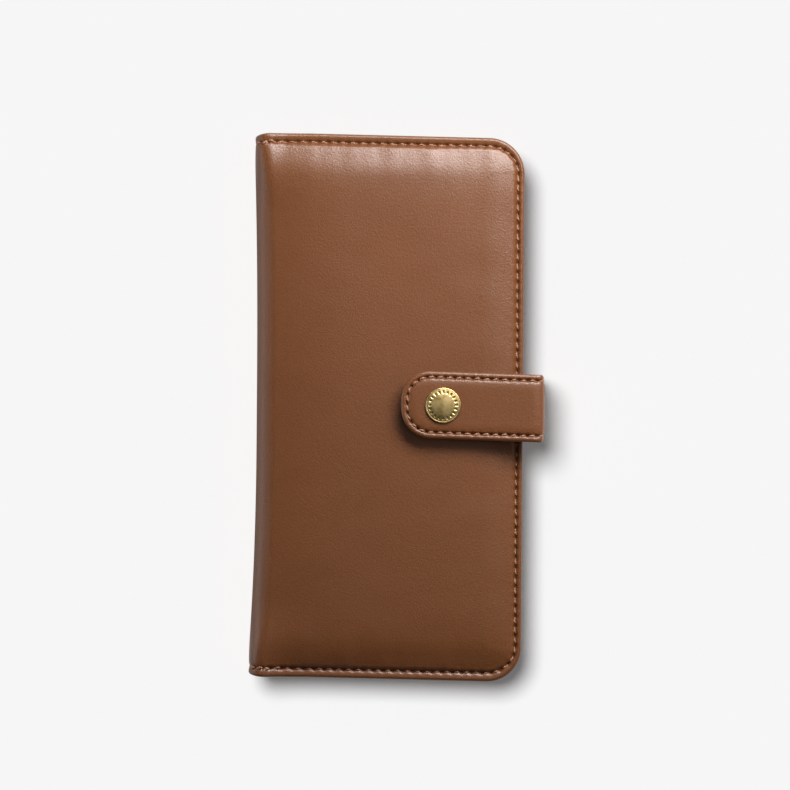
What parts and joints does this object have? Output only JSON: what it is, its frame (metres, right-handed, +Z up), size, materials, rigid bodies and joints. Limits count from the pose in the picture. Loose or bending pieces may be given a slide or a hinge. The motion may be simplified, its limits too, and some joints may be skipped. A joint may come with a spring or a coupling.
{
  "type": "phone wallet case",
  "caption": "Long padded leather wallet with a phone pocket, a card side, a soft folding spine and a snap strap that wraps round the opening edge.",
  "frame": {"origin": "centre of the back cover's flat outer face, which the closed case lies on", "axes": "+X from the spine to the opening edge, +Y along the case's length, +Z up through the closed case to the front cover"},
  "size_m": [0.1025, 0.194, 0.0287],
  "materials": {
    "brown_leather": "fine-grained, semi-matte, chestnut brown",
    "lining": "matte woven",
    "board": "raw grey board",
    "foam": "raw padding",
    "thread": "copper-orange twisted thread",
    "antique_brass": "satin, antiqued",
    "window": "clear film"
  },
  "bodies": {
    "back": {"back_cover_leather": "brown_leather", "back_cover_foam": "foam", "back_cover_board": "board", "back_lining": "lining", "back_edge_thread": "thread", "phone_pocket_gusset": "lining", "phone_pocket_panel": "brown_leather", "phone_pocket_thread": "thread", "strap_root_outer": "brown_leather", "strap_root_core": "board", "strap_root_inner": "brown_leather"},
    "spine": {"spine_leather": "brown_leather", "spine_lining": "lining"},
    "front": {"front_cover_leather": "brown_leather", "front_cover_foam": "foam", "front_cover_board": "board", "front_lining": "lining", "front_edge_thread": "thread", "note_pocket_panel": "lining", "card_pocket_1": "brown_leather", "card_pocket_2": "brown_leather", "card_pocket_3": "brown_leather", "card_pocket_4": "brown_leather", "id_window_frame": "brown_leather", "id_window": "window", "snap_stud": "antique_brass", "snap_stud_rivet": "antique_brass"},
    "strap_side": {"strap_side_outer": "brown_leather", "strap_side_core": "board", "strap_side_inner": "brown_leather"},
    "strap_top": {"strap_top_outer": "brown_leather", "strap_top_core": "board", "strap_top_inner": "brown_leather", "strap_thread": "thread", "snap_cap": "antique_brass", "snap_socket": "antique_brass"}
  },
  "joints": [
    {"name": "spine_fold", "type": "hinge", "parent": "back", "child": "spine", "pos_m": [-0.0467, 0, 0.0008], "axis": [0, -1, 0], "range_deg": [0, 90]},
    {"name": "cover_fold", "type": "hinge", "parent": "spine", "child": "front", "pos_m": [-0.0467, 0, 0.0212], "axis": [0, -1, 0], "range_deg": [0, 90]},
    {"name": "strap_root_bend", "type": "hinge", "parent": "back", "child": "strap_side", "pos_m": [0.0538, 0, 0.0062], "axis": [0, 1, 0], "range_deg": [0, 90]},
    {"name": "strap_top_bend", "type": "hinge", "parent": "strap_side", "child": "strap_top", "pos_m": [0.0538, 0, 0.0258], "axis": [0, 1, 0], "range_deg": [0, 90]}
  ],
  "couplings": [
    {"joint": "strap_top_bend", "follows": "strap_root_bend", "ratio": 1}
  ]
}
